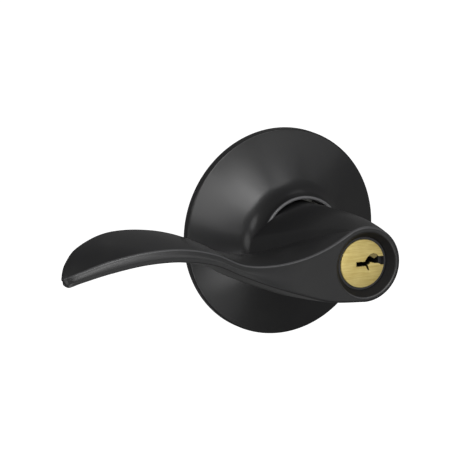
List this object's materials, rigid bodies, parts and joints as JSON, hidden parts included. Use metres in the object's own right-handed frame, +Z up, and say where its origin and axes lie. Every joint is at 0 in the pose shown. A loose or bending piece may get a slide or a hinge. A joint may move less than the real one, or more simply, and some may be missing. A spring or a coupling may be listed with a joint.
{
  "type": "lever handle lockset",
  "caption": "Outside trim of a keyed entry lever: a round flared rose, a wave-shaped lever with a leaf-like tip, and a pin-tumbler key cylinder in the hub.",
  "frame": {"origin": "centre of the through-bolt pattern, on the spindle axis at the door face", "axes": "+Y into the door along the spindle, -Y towards the user, -X along the lever arm, +Z up"},
  "size_m": [0.1282, 0.1011, 0.0652],
  "materials": {
    "black_trim": "satin black coating, lightly textured",
    "zinc_plated": "zinc-plated steel",
    "steel": "machined steel",
    "spring_steel": "drawn spring steel",
    "bronze": "sintered bronze",
    "brass": "turned brass",
    "plug_brass": "brass with a fine brushed face"
  },
  "bodies": {
    "trim": {"rose": "black_trim", "mounting_plate": "zinc_plated", "through_bolt_posts": "steel", "spindle_bushing": "bronze", "spring_cover": "zinc_plated", "cover_screws": "steel", "return_spring": "spring_steel"},
    "lever": {"lever": "black_trim", "drive_sleeve": "steel", "return_cam": "zinc_plated", "wave_washer": "spring_steel", "sleeve_retaining_ring": "spring_steel", "spindle": "steel", "catch_spring": "spring_steel", "cylinder_housing": "brass", "chamber_cover": "brass", "driver_spring_1": "spring_steel", "driver_spring_2": "spring_steel", "driver_spring_3": "spring_steel", "driver_spring_4": "spring_steel", "driver_spring_5": "spring_steel"},
    "plug": {"plug": "plug_brass", "plug_cam": "zinc_plated", "cam_screws": "steel", "tailpiece": "steel"},
    "catch": {"lever_catch": "steel"},
    "key_pin_1": {"key_pin_1": "brass"},
    "key_pin_2": {"key_pin_2": "brass"},
    "key_pin_3": {"key_pin_3": "brass"},
    "key_pin_4": {"key_pin_4": "brass"},
    "key_pin_5": {"key_pin_5": "brass"},
    "driver_pin_1": {"driver_pin_1": "brass"},
    "driver_pin_2": {"driver_pin_2": "brass"},
    "driver_pin_3": {"driver_pin_3": "brass"},
    "driver_pin_4": {"driver_pin_4": "brass"},
    "driver_pin_5": {"driver_pin_5": "brass"}
  },
  "joints": [
    {"name": "lever_turn", "type": "hinge", "parent": "trim", "child": "lever", "pos_m": [0, 0, 0], "axis": [0, -1, 0], "range_deg": [-55, 55], "stiffness_Nm_per_rad": 1.5, "springref_deg": -2.86, "deforming": ["return_spring"]},
    {"name": "plug_turn", "type": "hinge", "parent": "lever", "child": "plug", "pos_m": [0, 0, 0], "axis": [0, -1, 0], "range_deg": [-90, 90]},
    {"name": "catch_press", "type": "slide", "parent": "lever", "child": "catch", "axis": [0, 0, 1], "range_m": [0, 0.0026], "stiffness_N_per_m": 400, "springref_m": -0.001, "deforming": ["catch_spring"]},
    {"name": "key_pin_1_drop", "type": "slide", "parent": "plug", "child": "key_pin_1", "axis": [1, 0, 0], "range_m": [0, 0.0014]},
    {"name": "key_pin_2_drop", "type": "slide", "parent": "plug", "child": "key_pin_2", "axis": [1, 0, 0], "range_m": [0, 0.0006]},
    {"name": "key_pin_3_drop", "type": "slide", "parent": "plug", "child": "key_pin_3", "axis": [1, 0, 0], "range_m": [0, 0.001]},
    {"name": "key_pin_4_drop", "type": "slide", "parent": "plug", "child": "key_pin_4", "axis": [1, 0, 0], "range_m": [0, 0.0003]},
    {"name": "key_pin_5_drop", "type": "slide", "parent": "plug", "child": "key_pin_5", "axis": [1, 0, 0], "range_m": [0, 0.0012]},
    {"name": "driver_pin_1_lift", "type": "slide", "parent": "lever", "child": "driver_pin_1", "axis": [-1, 0, 0], "range_m": [0, 0.0012], "stiffness_N_per_m": 200, "springref_m": -0.001, "deforming": ["driver_spring_1"]},
    {"name": "driver_pin_2_lift", "type": "slide", "parent": "lever", "child": "driver_pin_2", "axis": [-1, 0, 0], "range_m": [0, 0.0012], "stiffness_N_per_m": 200, "springref_m": -0.001, "deforming": ["driver_spring_2"]},
    {"name": "driver_pin_3_lift", "type": "slide", "parent": "lever", "child": "driver_pin_3", "axis": [-1, 0, 0], "range_m": [0, 0.0012], "stiffness_N_per_m": 200, "springref_m": -0.001, "deforming": ["driver_spring_3"]},
    {"name": "driver_pin_4_lift", "type": "slide", "parent": "lever", "child": "driver_pin_4", "axis": [-1, 0, 0], "range_m": [0, 0.0012], "stiffness_N_per_m": 200, "springref_m": -0.001, "deforming": ["driver_spring_4"]},
    {"name": "driver_pin_5_lift", "type": "slide", "parent": "lever", "child": "driver_pin_5", "axis": [-1, 0, 0], "range_m": [0, 0.0012], "stiffness_N_per_m": 200, "springref_m": -0.001, "deforming": ["driver_spring_5"]}
  ]
}
